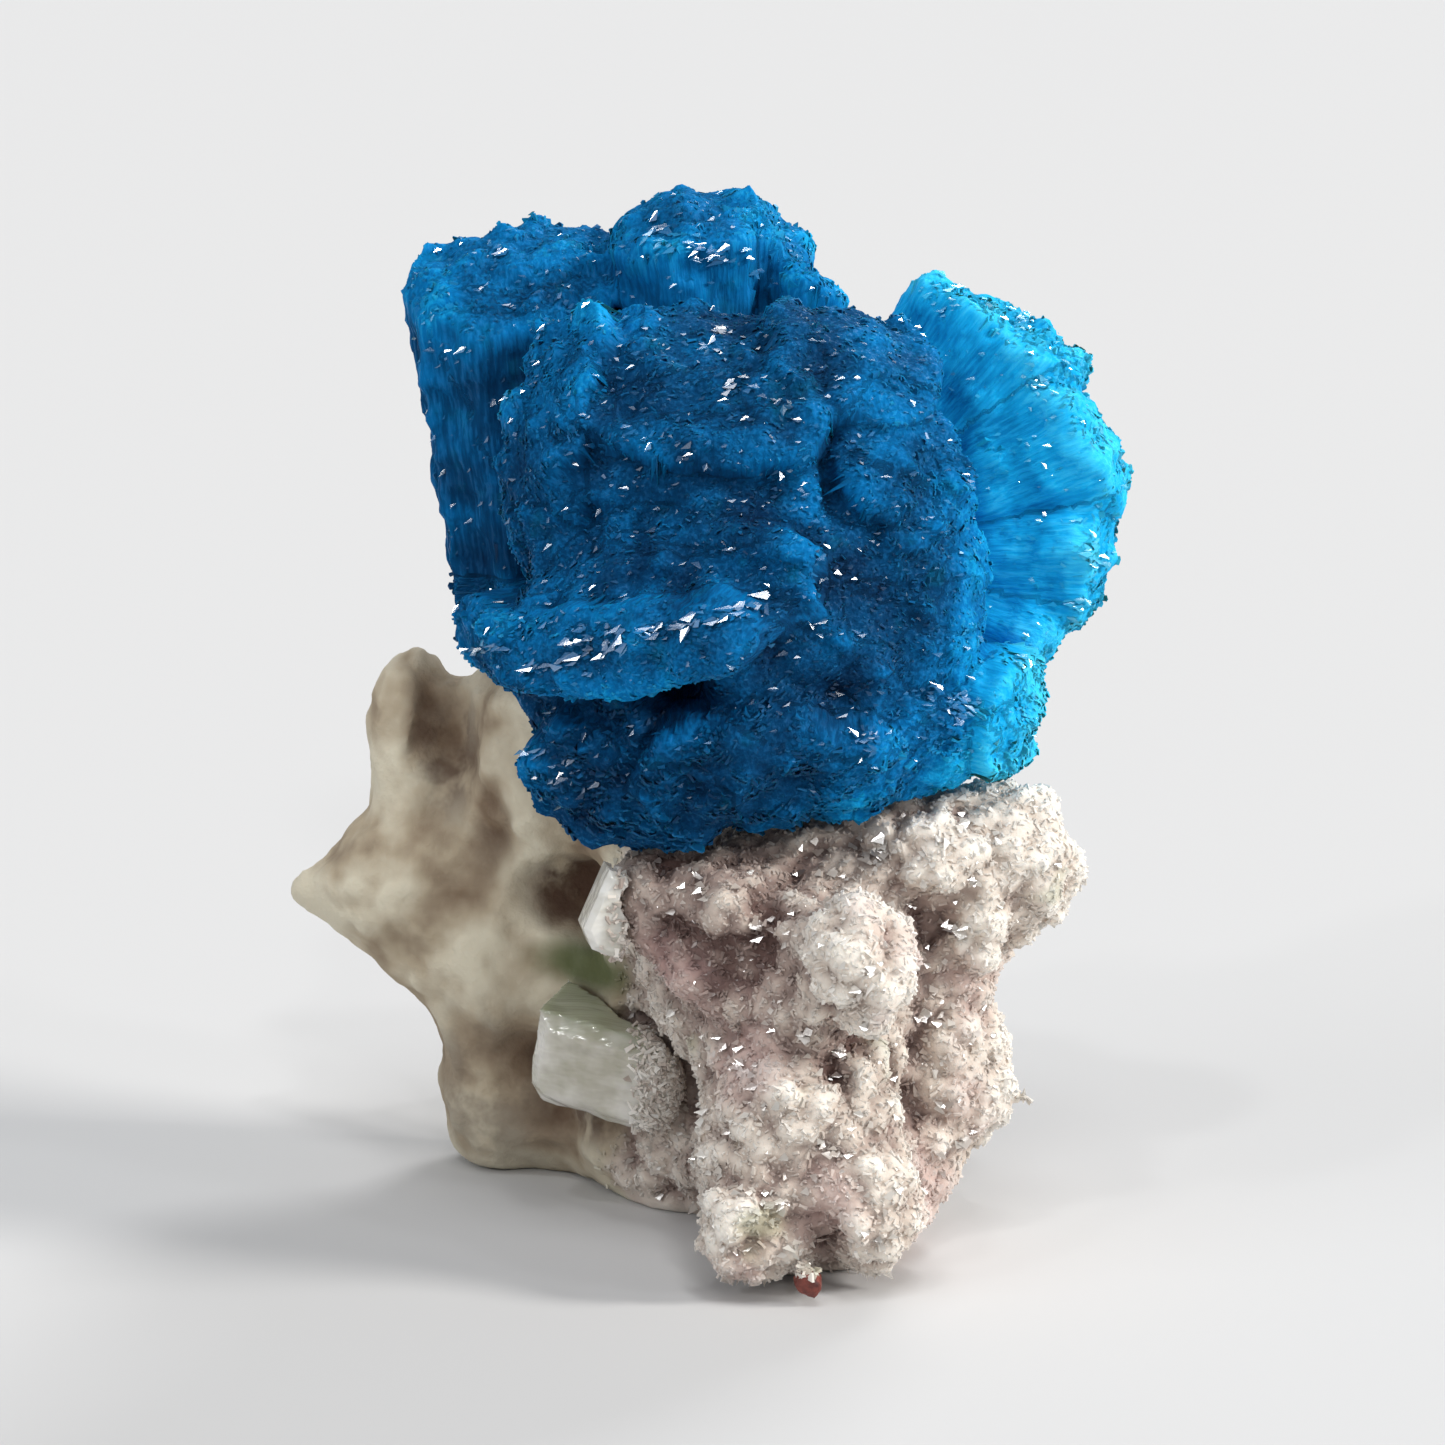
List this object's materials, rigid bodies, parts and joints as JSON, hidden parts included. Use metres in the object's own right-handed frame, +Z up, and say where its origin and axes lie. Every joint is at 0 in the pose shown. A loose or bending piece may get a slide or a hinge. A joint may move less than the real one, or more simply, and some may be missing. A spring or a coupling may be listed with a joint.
{
  "type": "cavansite crystal cluster",
  "caption": "Small mineral specimen: a blue rosette of bladed cavansite crystals grown on a loose, druse-covered piece of pale zeolite matrix, trimmed flat to stand.",
  "frame": {"origin": "under the middle of the specimen's bounding box, on the surface that it stands on", "axes": "+Z up; +X to the right and +Y away, seen from the side that the rosette is best seen from"},
  "size_m": [0.0175, 0.0132, 0.0211],
  "materials": {
    "cavansite": "glassy to pearly blades, clear blue",
    "matrix": "sparkling pinkish-grey druse, smoother and cream at the back left",
    "block_crystal": "translucent, with flat shining faces",
    "white_crystal": "translucent white, with flat shining faces",
    "red_brown_grain": "dull to waxy"
  },
  "bodies": {
    "root": {"cavansite_rosette": "cavansite", "zeolite_matrix": "matrix", "block_crystal": "block_crystal", "white_crystal": "white_crystal", "red_brown_grain": "red_brown_grain"}
  },
  "joints": []
}
